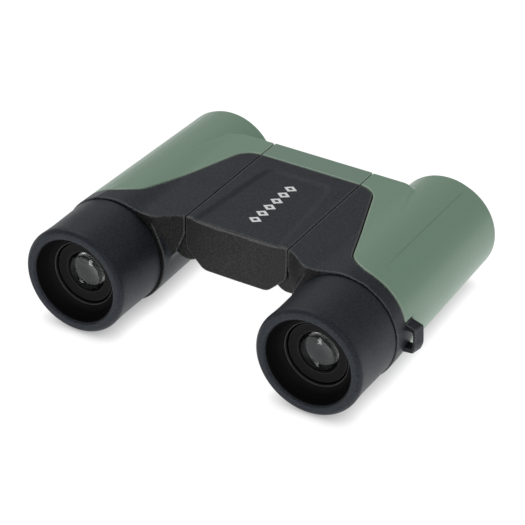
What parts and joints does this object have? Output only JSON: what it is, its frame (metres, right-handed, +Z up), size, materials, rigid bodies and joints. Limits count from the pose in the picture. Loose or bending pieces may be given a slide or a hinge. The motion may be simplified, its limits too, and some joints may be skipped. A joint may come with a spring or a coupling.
{
  "type": "folding pocket binoculars",
  "caption": "Compact double-hinge binoculars with flat bridge, front focus wheel, rubber eyecups and green shells over black barrels.",
  "frame": {"origin": "midway between and along the barrels, on the surface the binoculars lie on, fully open", "axes": "+X to the user's right, +Y from the eyepieces towards the objectives, +Z up"},
  "size_m": [0.115, 0.0856, 0.033],
  "materials": {
    "green_shell": "satin moulded shell, sage green",
    "black_body": "glass-filled polycarbonate, fine matt texture",
    "inner_black": "flat black moulding, low glare",
    "rubber": "satin moulded rubber",
    "steel": "plain turned steel",
    "brass": "plain turned brass",
    "glass": "polished, coated optical glass"
  },
  "bodies": {
    "bridge": {"bridge_chassis": "black_body", "bridge_top_panel": "black_body", "bridge_front_trim": "green_shell", "bridge_bottom_cover": "black_body", "cover_screw_1": "steel", "cover_screw_2": "steel", "cover_screw_3": "steel", "cover_screw_4": "steel", "right_hinge_pin": "steel", "right_hinge_bush": "brass", "left_hinge_pin": "steel", "left_hinge_bush": "brass"},
    "focus_knob": {"focus_wheel": "rubber", "focus_wheel_cap": "black_body", "focus_screw": "brass"},
    "carriage": {"focus_carriage": "steel"},
    "right_barrel": {"right_housing": "black_body", "right_front_shell": "green_shell", "right_strap_lug": "black_body", "right_eyepiece_mount": "inner_black", "right_half_penta_prism": "glass", "right_roof_prism": "glass", "right_prism_cage": "inner_black", "right_objective_bezel": "black_body"},
    "right_objective_group": {"right_objective_cell": "inner_black", "right_objective_lens": "glass", "right_objective_retainer": "inner_black", "right_focus_arm": "steel", "right_focus_rod": "steel"},
    "right_eyecup_ring": {"right_eyecup": "rubber"},
    "right_eyepiece_group": {"right_eyepiece_tube": "inner_black", "right_eye_lens_ring": "inner_black", "right_eye_lens": "glass", "right_field_lens": "glass", "right_field_stop": "inner_black"},
    "left_barrel": {"left_housing": "black_body", "left_front_shell": "green_shell", "left_strap_lug": "black_body", "left_eyepiece_mount": "inner_black", "left_half_penta_prism": "glass", "left_roof_prism": "glass", "left_prism_cage": "inner_black", "left_objective_bezel": "black_body", "left_eyecup": "rubber", "left_eyepiece_tube": "inner_black", "left_eye_lens_ring": "inner_black", "left_eye_lens": "glass", "left_field_lens": "glass", "left_field_stop": "inner_black"},
    "left_objective_group": {"left_objective_cell": "inner_black", "left_objective_lens": "glass", "left_objective_retainer": "inner_black", "left_focus_arm": "steel", "left_focus_rod": "steel"}
  },
  "joints": [
    {"name": "right_fold", "type": "hinge", "parent": "bridge", "child": "right_barrel", "pos_m": [0.0165, 0, 0.0218], "axis": [0, 1, 0], "range_deg": [0, 74]},
    {"name": "left_fold", "type": "hinge", "parent": "bridge", "child": "left_barrel", "pos_m": [-0.0165, 0, 0.0218], "axis": [0, -1, 0], "range_deg": [0, 74]},
    {"name": "focus_turn", "type": "hinge", "parent": "bridge", "child": "focus_knob", "pos_m": [0, 0, 0.0213], "axis": [0, 1, 0], "range_deg": [-270, 270]},
    {"name": "carriage_slide", "type": "slide", "parent": "bridge", "child": "carriage", "axis": [0, 1, 0], "range_m": [-0.00179, 0.00179]},
    {"name": "right_focus_slide", "type": "slide", "parent": "right_barrel", "child": "right_objective_group", "axis": [0, 1, 0], "range_m": [-0.0018, 0.0018]},
    {"name": "left_focus_slide", "type": "slide", "parent": "left_barrel", "child": "left_objective_group", "axis": [0, 1, 0], "range_m": [-0.0018, 0.0018]},
    {"name": "diopter_turn", "type": "hinge", "parent": "right_barrel", "child": "right_eyecup_ring", "pos_m": [0.0374, -0.03, 0.0165], "axis": [0, 1, 0], "range_deg": [-60, 60]},
    {"name": "diopter_slide", "type": "slide", "parent": "right_barrel", "child": "right_eyepiece_group", "axis": [0, 1, 0], "range_m": [-0.001, 0.001]}
  ],
  "couplings": [
    {"joint": "focus_turn", "follows": "carriage_slide", "rad_per_m": 2632},
    {"joint": "right_focus_slide", "follows": "carriage_slide", "ratio": 1},
    {"joint": "left_focus_slide", "follows": "carriage_slide", "ratio": 1},
    {"joint": "diopter_slide", "follows": "diopter_turn", "m_per_rad": 0.0009}
  ]
}
